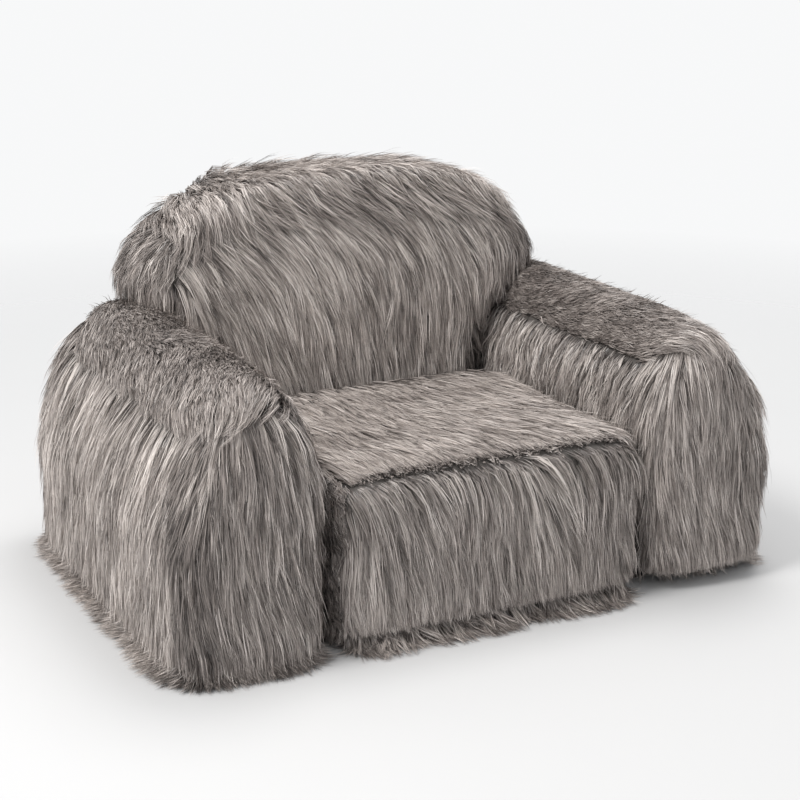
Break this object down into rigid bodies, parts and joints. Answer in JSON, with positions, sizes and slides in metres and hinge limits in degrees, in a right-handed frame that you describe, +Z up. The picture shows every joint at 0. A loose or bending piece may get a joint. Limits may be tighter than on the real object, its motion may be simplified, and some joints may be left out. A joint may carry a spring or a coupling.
{
  "type": "bean bag chair",
  "caption": "Low armchair of soft stuffed cushions, a seat, a back and two arms, in a long-pile faux-fur cover with a zip across the back.",
  "frame": {"origin": "on the floor under the middle of the chair", "axes": "the sitter looks along -Y, +X is the right-hand side as seen from the front, +Z is up"},
  "size_m": [1.2, 0.84, 0.72],
  "materials": {
    "fur": "long silky faux-fur pile, warm grey with darker roots",
    "lining": "plain woven polyester lining, dark grey",
    "bag": "thin plain woven inner bag, off-white",
    "foam": "shredded soft foam, pale cream",
    "base": "coarse hard-wearing woven base cloth, near black",
    "tape": "woven herringbone zip tape, dark grey",
    "nylon": "moulded nylon coil, dark grey, satin",
    "nickel": "die-cast zip metal, dull nickel plating"
  },
  "bodies": {
    "root": {"base_panel": "base", "seat_top_panel": "fur", "seat_front_panel": "fur", "seat_lining": "lining", "seat_inner_bag": "bag", "seat_bag_zip": "tape", "seat_filling": "foam", "back_front_panel": "fur", "back_rear_panel": "fur", "back_left_gusset": "fur", "back_right_gusset": "fur", "back_top_gusset": "fur", "back_bottom_lining": "lining", "back_inner_bag": "bag", "back_bag_zip": "tape", "back_filling": "foam", "left_arm_top_panel": "fur", "left_arm_front_panel": "fur", "left_arm_outer_panel": "fur", "left_arm_inner_panel": "fur", "left_arm_rear_panel": "fur", "left_arm_bottom_lining": "lining", "left_arm_inner_bag": "bag", "left_arm_bag_zip": "tape", "left_arm_filling": "foam", "right_arm_top_panel": "fur", "right_arm_front_panel": "fur", "right_arm_outer_panel": "fur", "right_arm_inner_panel": "fur", "right_arm_rear_panel": "fur", "right_arm_bottom_lining": "lining", "right_arm_inner_bag": "bag", "right_arm_bag_zip": "tape", "right_arm_filling": "foam", "zip_tape_upper": "tape", "zip_tape_lower": "tape", "zip_coil_upper": "nylon", "zip_coil_lower": "nylon", "zip_stop_left": "nickel", "zip_stop_right": "nickel"},
    "zip_slider": {"zip_slider": "nickel"},
    "zip_pull_tab": {"zip_pull_tab": "nickel"}
  },
  "joints": [
    {"name": "cover_zip_slide", "type": "slide", "parent": "root", "child": "zip_slider", "axis": [1, 0, 0], "range_m": [0, 0.3818]},
    {"name": "pull_tab_hinge", "type": "hinge", "parent": "zip_slider", "child": "zip_pull_tab", "pos_m": [-0.1909, 0.40746, 0.09], "axis": [0, 0, 1], "range_deg": [0, 180]}
  ]
}
